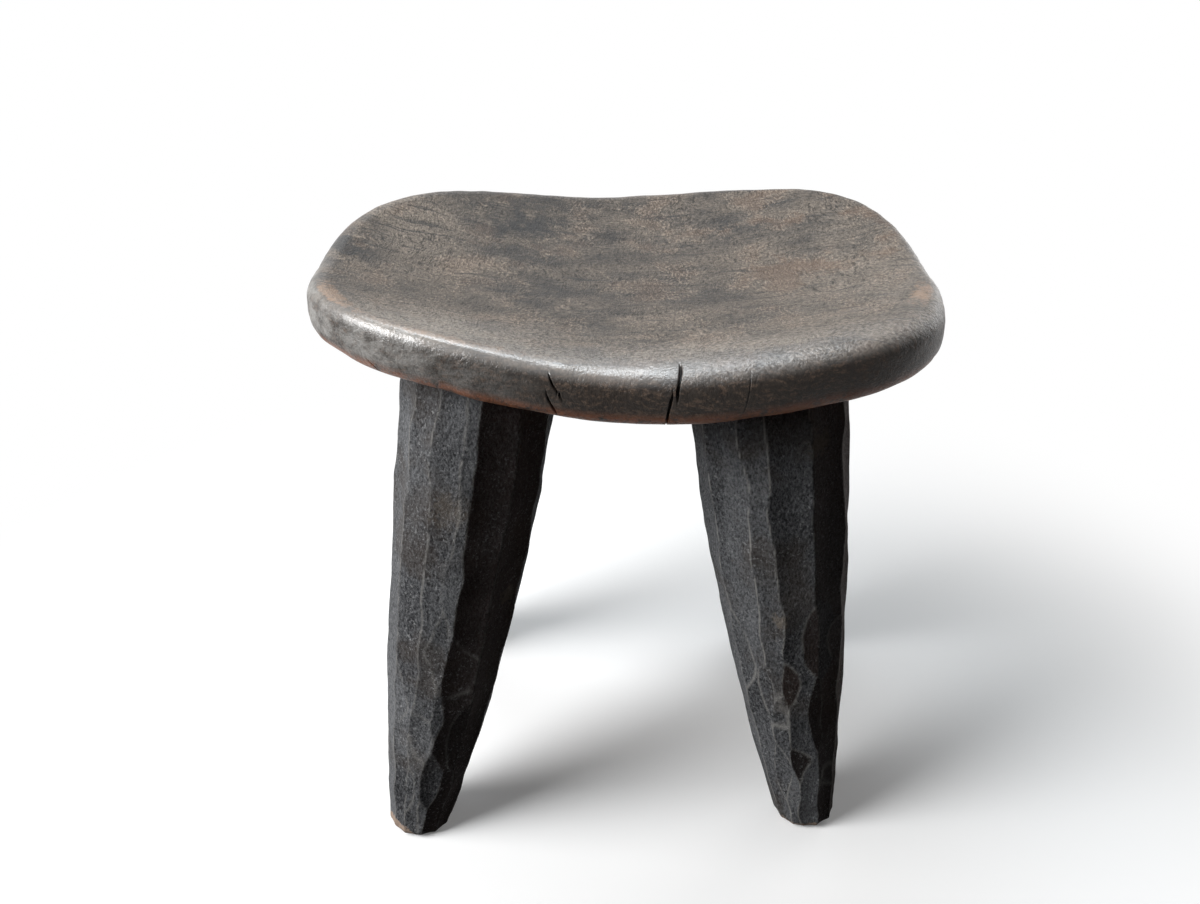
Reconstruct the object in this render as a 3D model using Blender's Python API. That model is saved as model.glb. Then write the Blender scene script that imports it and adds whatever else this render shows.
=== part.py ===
# Senufo stool: a dished slab seat on four splayed, adze-faceted legs, carved from one log.
# Metres, +Z up, floor at Z = 0, front towards -Y. Each carved member is its own object,
# divided where the leg runs into the underside of the seat.

import math

import bmesh
import bpy

# Seat plan
SEAT_WIDTH = 0.356
SEAT_DEPTH = 0.285
# Half depth gained at the right end and lost at the left: the plan is a little wider to the right
RIGHT_FLARE = 0.012
# Squareness of each quarter of the outline: 2 is an ellipse, a larger value is squarer
FRONT_LEFT_SQUARENESS = 3.3
FRONT_RIGHT_SQUARENESS = 3.0
REAR_LEFT_SQUARENESS = 2.4
REAR_RIGHT_SQUARENESS = 2.6

# Seat section: height of the rim at the middle of each side, the extra height of its corners,
# and the floor of the dish
FRONT_RIM_HEIGHT = 0.333
REAR_RIM_HEIGHT = 0.3365
LEFT_RIM_HEIGHT = 0.344
RIGHT_RIM_HEIGHT = 0.3385
CORNER_LIFT = 0.0123
DISH_HEIGHT = 0.319
DISH_FULLNESS = 2.1
CENTRE_THICKNESS = 0.036
RIM_THICKNESS = 0.0325
RIGHT_THICKENING = 0.003
EDGE_INSET = 0.013
EDGE_SQUARENESS = 3.0

# Legs, whose heads and feet differ a little from the left pair to the right pair
LEFT_HEAD_RADIUS = 0.0412
RIGHT_HEAD_RADIUS = 0.0452
LEFT_FOOT_RADIUS = 0.0192
RIGHT_FOOT_RADIUS = 0.0182
TAPER_FULLNESS = 1.9
FOOT_EDGE = 0.0035
LEG_BOW = 0.0014
FACET_HOLLOW = 0.0009

# Adze work: how unevenly the facets share the girth, how far their ridges wander (radians), and
# how quickly both change from one facet to the next and up the leg
FACET_UNEVENNESS = 0.16
FACET_RHYTHM = 2.4
RIDGE_WANDER = 0.07
RIDGE_RHYTHM = 2.1
RIDGE_WAVES = 5.0
FRONT_LEFT_PHASE = 0.4
FRONT_RIGHT_PHASE = 1.9
REAR_LEFT_PHASE = 3.1
REAR_RIGHT_PHASE = 4.6

# Distance from the end and from the long side of the seat to the axis at the head of a leg
LEFT_LEG_END_INSET = 0.0983
RIGHT_LEG_END_INSET = 0.1002
FRONT_LEG_SIDE_INSET = 0.074
REAR_LEG_SIDE_INSET = 0.074

# How far each foot stands out from the head of its leg, along X and along Y
FRONT_LEFT_SPLAY_X = 0.0495
FRONT_RIGHT_SPLAY_X = 0.0387
REAR_LEFT_SPLAY_X = 0.0465
REAR_RIGHT_SPLAY_X = 0.0405
FRONT_LEFT_SPLAY_Y = 0.0295
FRONT_RIGHT_SPLAY_Y = 0.024
REAR_SPLAY_Y = 0.026

# Clearance between the head of a leg and the underside of the seat
HEAD_GAP = 0.0003

# Mesh density
OUTLINE_POINTS = 112
EDGE_RINGS = 12
FACE_RINGS = 6
FACETS = 12
COLUMNS_PER_FACET = 2
LEG_ROWS = 14
HEAD_RINGS = 4

SEAT_COLOUR = (0.055, 0.043, 0.036, 1.0)
SEAT_ROUGHNESS = 0.42
LEG_COLOUR = (0.026, 0.025, 0.025, 1.0)
LEG_ROUGHNESS = 0.62


def squareness(x, y):
    if y < 0:
        return FRONT_LEFT_SQUARENESS if x < 0 else FRONT_RIGHT_SQUARENESS
    return REAR_LEFT_SQUARENESS if x < 0 else REAR_RIGHT_SQUARENESS


def plan_shares(x, y):
    # The point as shares of the half width and of the half depth at that place
    across = 2 * x / SEAT_WIDTH
    return across, y / (SEAT_DEPTH / 2 + RIGHT_FLARE * across)


def plan_radius(x, y):
    # 0 at the centre of the seat, 1 on its outline
    power = squareness(x, y)
    across, along = plan_shares(x, y)
    return (abs(across) ** power + abs(along) ** power) ** (1 / power)


def rim_height(x, y):
    # Height of the rim where the line from the centre through this point meets the outline
    across, along = plan_shares(x, y)
    share = across**2 / (across**2 + along**2)
    side = FRONT_RIM_HEIGHT if y < 0 else REAR_RIM_HEIGHT
    end = LEFT_RIM_HEIGHT if x < 0 else RIGHT_RIM_HEIGHT
    return side * (1 - share) + end * share + CORNER_LIFT * 4 * share * (1 - share)


def top_height(x, y):
    radius = plan_radius(x, y)
    if radius == 0:
        return DISH_HEIGHT
    return DISH_HEIGHT + (rim_height(x, y) - DISH_HEIGHT) * radius**DISH_FULLNESS


def thickness(x, y):
    thinning = (CENTRE_THICKNESS - RIM_THICKNESS) * min(1.0, plan_radius(x, y)) ** 2
    return CENTRE_THICKNESS - thinning + RIGHT_THICKENING * 2 * x / SEAT_WIDTH


def underside_height(x, y):
    return top_height(x, y) - thickness(x, y)


def loft(mesh_builder, rings):
    # Faces between closed rings of points, with a fan to the single point at either end
    loops = [[mesh_builder.verts.new(point) for point in ring] for ring in rings]
    for lower, upper in zip(loops, loops[1:]):
        count = max(len(lower), len(upper))
        for i in range(count):
            j = (i + 1) % count
            near = (lower[i % len(lower)], lower[j % len(lower)])
            far = (upper[j % len(upper)], upper[i % len(upper)])
            mesh_builder.faces.new(dict.fromkeys(near + far))


def solid(name, rings, location, material, smooth):
    mesh_builder = bmesh.new()
    loft(mesh_builder, rings)
    bmesh.ops.recalc_face_normals(mesh_builder, faces=mesh_builder.faces)
    mesh = bpy.data.meshes.new(name)
    mesh_builder.to_mesh(mesh)
    mesh_builder.free()
    if smooth:
        mesh.shade_smooth()
    mesh.materials.append(material)
    piece = bpy.data.objects.new(name, mesh)
    piece.location = location
    bpy.context.collection.objects.link(piece)
    return piece


def wood(name, colour, roughness):
    material = bpy.data.materials.new(name)
    material.use_nodes = True
    shader = material.node_tree.nodes["Principled BSDF"]
    shader.inputs["Base Color"].default_value = colour
    shader.inputs["Roughness"].default_value = roughness
    shader.inputs["Metallic"].default_value = 0.0
    return material


def seat_outline():
    # Points of the outline with their distance from the centre
    points = []
    for i in range(OUTLINE_POINTS):
        turn = 2 * math.pi * i / OUTLINE_POINTS
        power = 2 / squareness(math.cos(turn), math.sin(turn))
        across = math.copysign(abs(math.cos(turn)) ** power, math.cos(turn))
        along = math.copysign(abs(math.sin(turn)) ** power, math.sin(turn))
        x = across * SEAT_WIDTH / 2
        y = along * (SEAT_DEPTH / 2 + RIGHT_FLARE * across)
        points.append((x, y, math.hypot(x, y)))
    return points


def seat_ring(outline, share, height):
    # The outline drawn in to a share of itself, on the surface that height gives
    ring = []
    for x, y, reach in outline:
        scale = share * (1 - EDGE_INSET / reach)
        ring.append((x * scale, y * scale, height(x * scale, y * scale)))
    return ring


def edge_ring(outline, turn):
    # One ring of the rounded edge: turn 0 is its upper side, pi its lower side
    outward = math.sin(turn) ** (2 / EDGE_SQUARENESS)
    upward = math.copysign(abs(math.cos(turn)) ** (2 / EDGE_SQUARENESS), math.cos(turn))
    ring = []
    for x, y, reach in outline:
        scale = 1 - EDGE_INSET * (1 - outward) / reach
        top = top_height(x * scale, y * scale)
        half = thickness(x * scale, y * scale) / 2
        ring.append((x * scale, y * scale, top - half + half * upward))
    return ring


def make_seat():
    outline = seat_outline()
    shares = [(i + 1) / FACE_RINGS for i in range(FACE_RINGS)]
    rings = [[(0.0, 0.0, top_height(0.0, 0.0))]]
    rings += [seat_ring(outline, share, top_height) for share in shares]
    rings += [edge_ring(outline, math.pi * i / EDGE_RINGS) for i in range(1, EDGE_RINGS)]
    rings += [seat_ring(outline, share, underside_height) for share in reversed(shares)]
    rings.append([(0.0, 0.0, underside_height(0.0, 0.0))])
    return solid("seat", rings, (0.0, 0.0, 0.0), wood("seat_wood", SEAT_COLOUR, SEAT_ROUGHNESS), True)


def facet_column(column, rise, phase):
    # Angle of a column of points at a share of the height, its reach as a share of the radius,
    # and how deep it lies in the hollow of its facet
    facet, part = divmod(column, COLUMNS_PER_FACET)
    step = 2 * math.pi / FACETS

    def ridge(index):
        around = index % FACETS
        uneven = FACET_UNEVENNESS * math.sin(FACET_RHYTHM * around + phase)
        wander = RIDGE_WANDER * math.sin(RIDGE_WAVES * rise + RIDGE_RHYTHM * around + phase)
        return step * (index + uneven) + wander

    share = part / COLUMNS_PER_FACET
    angle = ridge(facet) * (1 - share) + ridge(facet + 1) * share
    flat = math.cos(step / 2) / math.cos(step * (share - 0.5))
    return angle, flat, 4 * share * (1 - share)


def leg_point(leg, column, rise, inset):
    # A point on the flank of a leg, measured from the centre of its foot
    taper = 1 - (1 - rise) ** TAPER_FULLNESS
    radius = leg["foot_radius"] + (leg["head_radius"] - leg["foot_radius"]) * taper - inset
    angle, flat, hollow = facet_column(column, rise, leg["phase"])
    reach = radius * flat - FACET_HOLLOW * hollow
    bow = LEG_BOW * 4 * rise * (1 - rise)
    x = leg["lean_x"] * rise + math.copysign(bow, leg["lean_x"]) + reach * math.cos(angle)
    y = leg["lean_y"] * rise + math.copysign(bow, leg["lean_y"]) + reach * math.sin(angle)
    return x, y


def make_leg(name, end, side, leg):
    leg["lean_x"] = -end * leg["splay_x"]
    leg["lean_y"] = -side * leg["splay_y"]
    foot_x = end * (SEAT_WIDTH / 2 - leg["end_inset"] + leg["splay_x"])
    foot_y = side * (SEAT_DEPTH / 2 - leg["side_inset"] + leg["splay_y"])
    columns = range(FACETS * COLUMNS_PER_FACET)

    def head_point(x, y):
        return x, y, underside_height(foot_x + x, foot_y + y) - HEAD_GAP

    crown = [head_point(*leg_point(leg, column, 1.0, 0.0)) for column in columns]
    rings = [[(0.0, 0.0, 0.0)]]
    rings.append([(*leg_point(leg, column, 0.0, FOOT_EDGE), 0.0) for column in columns])
    for row in range(LEG_ROWS):
        ring = []
        for column in columns:
            z = FOOT_EDGE + (crown[column][2] - FOOT_EDGE) * row / LEG_ROWS
            ring.append((*leg_point(leg, column, z / crown[column][2], 0.0), z))
        rings.append(ring)
    for step in range(HEAD_RINGS):
        share = 1 - step / HEAD_RINGS
        ring = []
        for x, y, z in crown:
            ring.append(head_point(
                leg["lean_x"] + (x - leg["lean_x"]) * share,
                leg["lean_y"] + (y - leg["lean_y"]) * share,
            ))
        rings.append(ring)
    rings.append([head_point(leg["lean_x"], leg["lean_y"])])
    material = wood(name + "_wood", LEG_COLOUR, LEG_ROUGHNESS)
    return solid(name, rings, (foot_x, foot_y, 0.0), material, False)


def make_legs():
    left = {
        "head_radius": LEFT_HEAD_RADIUS,
        "foot_radius": LEFT_FOOT_RADIUS,
        "end_inset": LEFT_LEG_END_INSET,
    }
    right = {
        "head_radius": RIGHT_HEAD_RADIUS,
        "foot_radius": RIGHT_FOOT_RADIUS,
        "end_inset": RIGHT_LEG_END_INSET,
    }
    front_left = left | {
        "side_inset": FRONT_LEG_SIDE_INSET,
        "splay_x": FRONT_LEFT_SPLAY_X,
        "splay_y": FRONT_LEFT_SPLAY_Y,
        "phase": FRONT_LEFT_PHASE,
    }
    front_right = right | {
        "side_inset": FRONT_LEG_SIDE_INSET,
        "splay_x": FRONT_RIGHT_SPLAY_X,
        "splay_y": FRONT_RIGHT_SPLAY_Y,
        "phase": FRONT_RIGHT_PHASE,
    }
    rear_left = left | {
        "side_inset": REAR_LEG_SIDE_INSET,
        "splay_x": REAR_LEFT_SPLAY_X,
        "splay_y": REAR_SPLAY_Y,
        "phase": REAR_LEFT_PHASE,
    }
    rear_right = right | {
        "side_inset": REAR_LEG_SIDE_INSET,
        "splay_x": REAR_RIGHT_SPLAY_X,
        "splay_y": REAR_SPLAY_Y,
        "phase": REAR_RIGHT_PHASE,
    }
    return [
        make_leg("leg_front_left", -1, -1, front_left),
        make_leg("leg_front_right", 1, -1, front_right),
        make_leg("leg_rear_left", -1, 1, rear_left),
        make_leg("leg_rear_right", 1, 1, rear_right),
    ]


def main():
    for leftover in list(bpy.data.objects):
        bpy.data.objects.remove(leftover, do_unlink=True)
    stool = bpy.data.objects.new("senufo_stool", None)
    bpy.context.collection.objects.link(stool)
    for piece in [make_seat(), *make_legs()]:
        piece.parent = stool


main()
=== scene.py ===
import math
import random
from functools import partial

import bpy
import numpy as np
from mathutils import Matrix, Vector, noise


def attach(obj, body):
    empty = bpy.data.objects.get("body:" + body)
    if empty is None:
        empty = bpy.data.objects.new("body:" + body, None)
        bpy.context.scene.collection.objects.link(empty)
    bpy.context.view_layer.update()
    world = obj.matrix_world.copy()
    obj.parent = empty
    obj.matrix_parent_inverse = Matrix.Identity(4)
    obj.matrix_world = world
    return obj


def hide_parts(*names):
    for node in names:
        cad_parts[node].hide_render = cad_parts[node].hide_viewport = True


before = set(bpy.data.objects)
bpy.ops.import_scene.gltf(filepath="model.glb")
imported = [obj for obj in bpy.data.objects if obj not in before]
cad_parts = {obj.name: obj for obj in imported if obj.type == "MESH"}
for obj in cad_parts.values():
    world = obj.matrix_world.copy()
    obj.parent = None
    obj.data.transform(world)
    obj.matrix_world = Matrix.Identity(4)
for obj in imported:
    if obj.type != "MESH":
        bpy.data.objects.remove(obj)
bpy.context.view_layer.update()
print("frame loaded:", ", ".join(sorted(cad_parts)))


# small helpers for node trees, shared by the leg carving and the materials
def addNode(tree, kind, **settings):
    node = tree.nodes.new(kind)
    for name, value in settings.items():
        setattr(node, name, value)
    return node


def feed(tree, socket, value):
    if isinstance(value, bpy.types.NodeSocket):
        tree.links.new(value, socket)
    else:
        socket.default_value = value


def calc(tree, operation, *values):
    node = addNode(tree, "ShaderNodeMath", operation=operation)
    for socket, value in zip(node.inputs, values):
        feed(tree, socket, value)
    return node.outputs[0]


def byId(sockets, identifier):
    return next(s for s in sockets if s.identifier == identifier)


# a smooth 0 to 1 step of a value between two limits, which may run downwards
def fade(tree, value, start, end):
    node = addNode(tree, "ShaderNodeMapRange", interpolation_type="SMOOTHSTEP")
    feed(tree, node.inputs["Value"], value)
    feed(tree, node.inputs["From Min"], start)
    feed(tree, node.inputs["From Max"], end)
    return node.outputs["Result"]


def mixedValue(tree, share, low, high):
    node = addNode(tree, "ShaderNodeMix", data_type="FLOAT")
    feed(tree, byId(node.inputs, "Factor_Float"), share)
    feed(tree, byId(node.inputs, "A_Float"), low)
    feed(tree, byId(node.inputs, "B_Float"), high)
    return byId(node.outputs, "Result_Float")


# the seat: a dished slab with round corners, lifted ends and a thick rounded rim
seatLook = {
    "width": 0.356, "depth": 0.285, "rightFlare": 0.012,
    "squareness": {"frontLeft": 3.3, "frontRight": 3.0, "rearLeft": 2.4, "rearRight": 2.6},
    "frontRim": 0.333, "rearRim": 0.3365, "leftRim": 0.344, "rightRim": 0.3385,
    "cornerLift": 0.0123, "dishFloor": 0.319, "dishFullness": 2.1,
    "middleThickness": 0.036, "rimThickness": 0.0325, "rightThickening": 0.003,
    "edgeInset": 0.013, "topEdgeSquareness": 2.6, "lowEdgeSquareness": 3.0,
    "frontLipInset": 0.024, "frontLipSquareness": 2.0,        # the front lip is worn to a broad roll
    "columns": 404, "topRings": 96, "edgeRings": 62, "underRings": 18,
    "lipFromFront": (0.02, 0.11), "lipFromLeft": (-0.095, 0.010),       # where that roll sets in
    "waviness": [(0.0005, 17), (0.0003, 42)],      # slow unevenness of a slab cut by eye: depth, waves per metre
    "toolMarks": (0.00022, 120),                   # shorter hollows, mostly on the rim
    "crackMargin": 0.0014, "crackPitch": 0.00026, "leastPitch": 0.00016,       # finer columns beside a crack
    "crackWobble": 0.0003, "dentFalloff": 2.2,
    # drying cracks in the front rim: upper and lower end (x, z), half width, depth, finer columns to the right
    "cracks": [
        ((0.0257, 0.3338), (0.0236, 0.3158), 0.00072, 0.0050, 0.0034),
        ((0.0213, 0.3212), (0.0185, 0.2985), 0.00058, 0.0045, 0),
        ((-0.0406, 0.3290), (-0.0335, 0.3138), 0.00045, 0.0035, 0),
        ((-0.0417, 0.3195), (-0.0362, 0.3030), 0.00045, 0.0035, 0),
        ((0.0606, 0.3345), (0.0566, 0.3060), 0.00026, 0.0007, 0),
        ((-0.1350, 0.3270), (-0.1255, 0.3170), 0.00034, 0.0012, 0),
    ],
    # shallow knocks: place, reach and depth
    "dents": [
        ((-0.092, -0.131, 0.316), 0.016, 0.0011), ((-0.066, -0.137, 0.313), 0.013, 0.0008),
        ((-0.005, -0.142, 0.306), 0.018, 0.0009), ((0.100, -0.137, 0.314), 0.017, 0.0009),
        ((0.062, -0.141, 0.305), 0.012, 0.0008), ((-0.150, -0.090, 0.322), 0.020, 0.0010),
        ((0.165, -0.055, 0.318), 0.022, 0.0009), ((-0.030, -0.105, 0.322), 0.006, 0.0006),
        ((0.140, 0.105, 0.325), 0.020, 0.0010), ((-0.060, 0.138, 0.318), 0.020, 0.0011),
        ((0.045, 0.142, 0.318), 0.016, 0.0009), ((-0.172, 0.030, 0.322), 0.018, 0.0009),
        # slow unevenness of the rim, where a negative depth is a swell
        ((0.100, 0.135, 0.338), 0.050, 0.0020), ((0.010, 0.138, 0.330), 0.045, -0.0014),
        ((-0.108, -0.122, 0.294), 0.034, 0.0020), ((-0.045, -0.132, 0.291), 0.030, 0.0010),
    ],
    # patches of the finish: strength, middle (x, y) and reach (x, y)
    "smoke": [(1.0, (-0.070, 0.090), (0.036, 0.055)), (1.3, (-0.165, 0.015), (0.022, 0.028)),
              (0.7, (-0.050, -0.010), (0.045, 0.030)), (0.5, (0.010, 0.070), (0.060, 0.020)),
              (1.0, (-0.0390, -0.0830), (0.0035, 0.0022))],
    "warm": [(1.0, (0.120, 0.060), (0.070, 0.070))],
    "pale": [(0.8, (-0.128, 0.050), (0.042, 0.060)), (1.0, (-0.095, -0.092), (0.050, 0.040)),
             (0.65, (0.140, 0.0), (0.042, 0.085)), (0.5, (0.060, -0.105), (0.090, 0.030))],
    "wornCorners": [(1.0, (-0.150, -0.075), (0.032, 0.040)), (1.0, (0.166, -0.060), (0.020, 0.035))],
    "wornFront": (-0.095, 0.055), "sleekFront": (-0.100, 0.055),        # middle and reach along the front lip
    "topKnot": ((0.0905, 0.055), 0.027), "rimKnot": ((-0.068, -0.134, 0.3115), 0.011),       # middle and size
}


def quarter(across, along):
    s = seatLook["squareness"]
    front = np.where(across < 0, s["frontLeft"], s["frontRight"])
    rear = np.where(across < 0, s["rearLeft"], s["rearRight"])
    return np.where(along < 0, front, rear)


def topAndThickness(x, y):
    k = seatLook
    across = 2 * x / k["width"]
    along = y / (k["depth"] / 2 + k["rightFlare"] * across)
    n = quarter(across, along)
    radius = (np.abs(across) ** n + np.abs(along) ** n) ** (1 / n)
    share = across ** 2 / np.maximum(across ** 2 + along ** 2, 1e-12)
    side = np.where(along < 0, k["frontRim"], k["rearRim"])
    end = np.where(across < 0, k["leftRim"], k["rightRim"])
    rim = side * (1 - share) + end * share + k["cornerLift"] * 4 * share * (1 - share)
    top = k["dishFloor"] + (rim - k["dishFloor"]) * radius ** k["dishFullness"]
    spare = k["middleThickness"] - k["rimThickness"]
    thick = k["middleThickness"] - spare * np.minimum(1, radius) ** 2
    return top, thick + k["rightThickening"] * across


def outlineAt(turn):
    c, s = np.cos(turn), np.sin(turn)
    power = 2 / quarter(c, s)
    across = np.sign(c) * np.abs(c) ** power
    along = np.sign(s) * np.abs(s) ** power
    x = across * seatLook["width"] / 2
    y = along * (seatLook["depth"] / 2 + seatLook["rightFlare"] * across)
    return x, y


def step(value, start, end):
    t = np.clip((value - start) / (end - start), 0, 1)
    return t * t * (3 - 2 * t)


# columns run evenly round the outline, with more of them beside the cracks
def seatColumns():
    k = seatLook
    turns = np.linspace(0, 2 * math.pi, 6001)
    x, y = outlineAt(turns)
    length = np.concatenate([[0], np.cumsum(np.hypot(np.diff(x), np.diff(y)))])
    places = list(np.linspace(0, length[-1], k["columns"], endpoint=False))
    front = turns > math.pi
    for upper, lower, _, _, runOn in k["cracks"]:
        ends = np.interp(sorted((upper[0], lower[0])), x[front], length[front])
        stop = ends[1] + k["crackMargin"] + runOn
        places += list(np.arange(ends[0] - k["crackMargin"], stop, k["crackPitch"]))
    places = np.sort(np.array(places))
    keep = np.concatenate([[True], np.diff(places) > k["leastPitch"]])
    return np.interp(places[keep], length, turns)


# rings of points from the top round to the underside, and where each is on the rim, from 0 to 1
def seatGrid():
    k = seatLook
    turns = seatColumns()
    ox, oy = outlineAt(turns)
    reach = np.hypot(ox, oy)
    front = step(-oy, *k["lipFromFront"]) * step(ox, *k["lipFromLeft"])
    topInset = k["edgeInset"] + (k["frontLipInset"] - k["edgeInset"]) * front
    topSquareness = k["topEdgeSquareness"] + (k["frontLipSquareness"] - k["topEdgeSquareness"]) * front
    rows, around = [], []

    def addRing(share, upward, place):
        x, y = ox * share, oy * share
        top, thick = topAndThickness(x, y)
        rows.append(np.stack([x, y, top - thick / 2 + thick / 2 * upward], 1))
        around.append(place)

    for i in range(1, k["topRings"]):
        addRing((i / k["topRings"]) ** 0.9 * (1 - topInset / reach), 1, 0.0)
    for i in range(k["edgeRings"] + 1):
        angle = math.pi * i / k["edgeRings"]
        upper = 2 * i < k["edgeRings"]
        power = 2 / (topSquareness if upper else k["lowEdgeSquareness"])
        outward = math.sin(angle) ** power if 0 < i < k["edgeRings"] else 0.0
        upward = math.copysign(1, math.cos(angle)) * abs(math.cos(angle)) ** power
        inset = (topInset if upper else k["edgeInset"]) * (1 - outward)
        addRing(1 - inset / reach, upward, i / k["edgeRings"])
    for i in range(k["underRings"] - 1, 0, -1):
        addRing(i / k["underRings"] * (1 - k["edgeInset"] / reach), -1, 1.0)
    return np.array(rows), np.repeat(np.array(around)[:, None], len(turns), 1)


def slowNoise(grid, scale, seed):
    shift = Vector((seed * 7.3, seed * 3.1, seed * 5.7))
    values = [noise.noise(Vector(p) * scale + shift) for p in grid.reshape(-1, 3)]
    return np.array(values).reshape(grid.shape[:2])


# unevenness, knocks and cracks, pushed in along the surface's normals
def hewSeat(grid, around):
    k = seatLook
    across = np.roll(grid, -1, 1) - np.roll(grid, 1, 1)
    normal = np.cross(np.gradient(grid, axis=0), across)
    normal /= np.maximum(np.linalg.norm(normal, axis=2, keepdims=True), 1e-12)
    push = np.zeros(around.shape)
    for seed, (depth, scale) in enumerate(k["waviness"], 1):
        push += depth * slowNoise(grid, scale, seed)
    onRim = step(around, 0.04, 0.2) * step(around, 0.96, 0.8)
    depth, scale = k["toolMarks"]
    push += depth * (0.35 + onRim) * slowNoise(grid, scale, 3)
    for place, size, depth in k["dents"]:
        away = np.linalg.norm(grid - np.array(place), axis=2) / size
        push -= depth * np.exp(-k["dentFalloff"] * away ** 2)
    crackShare = np.zeros(around.shape)
    onFront = grid[:, :, 1] < -0.06
    for number, ((x0, z0), (x1, z1), half, depth, _) in enumerate(k["cracks"]):
        down = (z0 - grid[:, :, 2]) / (z0 - z1)
        middle = x0 + (x1 - x0) * down + k["crackWobble"] * np.sin(7 * down + number)
        taper = step(down, -0.08, 0.3) * step(down, 1.1, 0.75)
        wide = half * (0.35 + 0.65 * taper)
        groove = np.clip(1.25 - np.abs(grid[:, :, 0] - middle) / wide, 0, 1)
        groove = groove * taper * onFront * step(around, 0.10, 0.17) * (around < 0.99)
        push -= depth * groove
        crackShare = np.maximum(crackShare, groove)
    return grid + normal * push[:, :, None], crackShare


def bump(value, middle, reach):
    return np.exp(-((value - middle) / reach) ** 2)


def patchesAt(x, y, places):
    return sum(strength * bump(x, at[0], reach[0]) * bump(y, at[1], reach[1]) for strength, at, reach in places)


# what the finish needs to know about each point
def seatFields(grid, around, crackShare):
    k = seatLook
    x, y, z = grid[:, :, 0], grid[:, :, 1], grid[:, :, 2]
    rim = step(around, 0.0, 0.14)

    # bare wood on the corners and the front lip, on the upper rim and the last rings of the top
    ring = np.arange(len(grid))[:, None]
    beside = np.where(ring < k["topRings"], np.maximum(0, (ring + 1) / k["topRings"] - 0.95) / 0.05, 0)
    onLip = np.where(around > 0, step(around, 0.26, 0.12), beside)
    frontLip = step(-y, 0.095, 0.125) * (0.45 + 1.1 * bump(x, *k["wornFront"]))
    worn = np.clip(onLip * (patchesAt(x, y, k["wornCorners"]) + 0.55 * frontLip), 0, 1) * 0.75

    # sheen from use: on the front lip, most on its left, and weaker round the rim
    polish = np.maximum(step(-y, 0.080, 0.132), 0.25 * step(around, 0.0, 0.06) * step(x, 0.16, 0.08))
    polish = polish * step(around, 0.42, 0.26) * (1 - 0.4 * step(x, 0.0, 0.12))
    sleekLeft = 0.85 * bump(x, *k["sleekFront"]) * step(-y, 0.050, 0.108) * (around < 0.3)
    # the left of the rim, which takes a real coat and pale grey painted as light
    rimSheen = step(around, 0.10, 0.24) * step(around, 0.85, 0.55)
    rimSheen = rimSheen * step(-x, 0.02, 0.14) * step(-y, -0.02, 0.06)

    # growth rings of a knot on the top and of one in the front rim
    (knotX, knotY), size = k["topKnot"]
    knotTop = np.hypot(x - knotX, y - knotY) / size
    rings = 0.7 * bump(knotTop, 1, 0.16) * step(y - 0.4 * x, -0.02, 0.06) * (around < 0.05)
    (knotX, knotY, knotZ), size = k["rimKnot"]
    knotRim = np.sqrt((x - knotX) ** 2 + (z - knotZ) ** 2 + 0.3 * (y - knotY) ** 2) / size
    ripple = np.cos(8 * knotRim) * step(knotRim, 1.45, 0.8)
    rings = rings + 1.3 * np.where((knotRim < 1.5) & (y < 0), ripple, 0)

    return {
        "rim": rim, "sleek": rim * (1 - 0.65 * step(x, -0.02, 0.06)),
        "side": step(around, 0.22, 0.40), "lowEdge": step(around, 0.60, 0.78), "crack": crackShare,
        "worn": worn, "polish": np.maximum(polish, sleekLeft), "pale": np.clip(patchesAt(x, y, k["pale"]), 0, 1),
        "rimSheen": rimSheen, "smoke": np.clip(patchesAt(x, y, k["smoke"]), 0, 1),
        "warm": patchesAt(x, y, k["warm"]), "rings": rings,
    }


def buildSeat():
    grid, around = seatGrid()
    grid, crackShare = hewSeat(grid, around)
    count, wide = grid.shape[:2]
    vertices = [tuple(p) for p in grid.reshape(-1, 3)]
    middleTop = len(vertices)
    height = float(topAndThickness(np.zeros(1), np.zeros(1))[0][0])
    vertices += [(0, 0, height), (0, 0, height - seatLook["middleThickness"])]
    following = [(c + 1) % wide for c in range(wide)]
    faces = [(middleTop, c, following[c]) for c in range(wide)]
    for r in range(count - 1):
        a, b = r * wide, (r + 1) * wide
        faces += [(a + c, b + c, b + following[c], a + following[c]) for c in range(wide)]
    last = (count - 1) * wide
    faces += [(last + c, middleTop + 1, last + following[c]) for c in range(wide)]
    mesh = bpy.data.meshes.new("seat_wood")
    mesh.from_pydata(vertices, [], faces)
    mesh.polygons.foreach_set("use_smooth", np.ones(len(faces), bool))
    for name, values in seatFields(grid, around, crackShare).items():
        ends = [values[0].mean(), values[-1].mean()]
        data = np.concatenate([values.reshape(-1), ends]).astype(np.float32)
        mesh.attributes.new(name, "FLOAT", "POINT").data.foreach_set("value", data)
    seat = bpy.data.objects.new("seatSlab", mesh)
    bpy.context.scene.collection.objects.link(seat)
    print("seat:", len(faces), "faces,", wide, "columns")
    return seat


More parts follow.
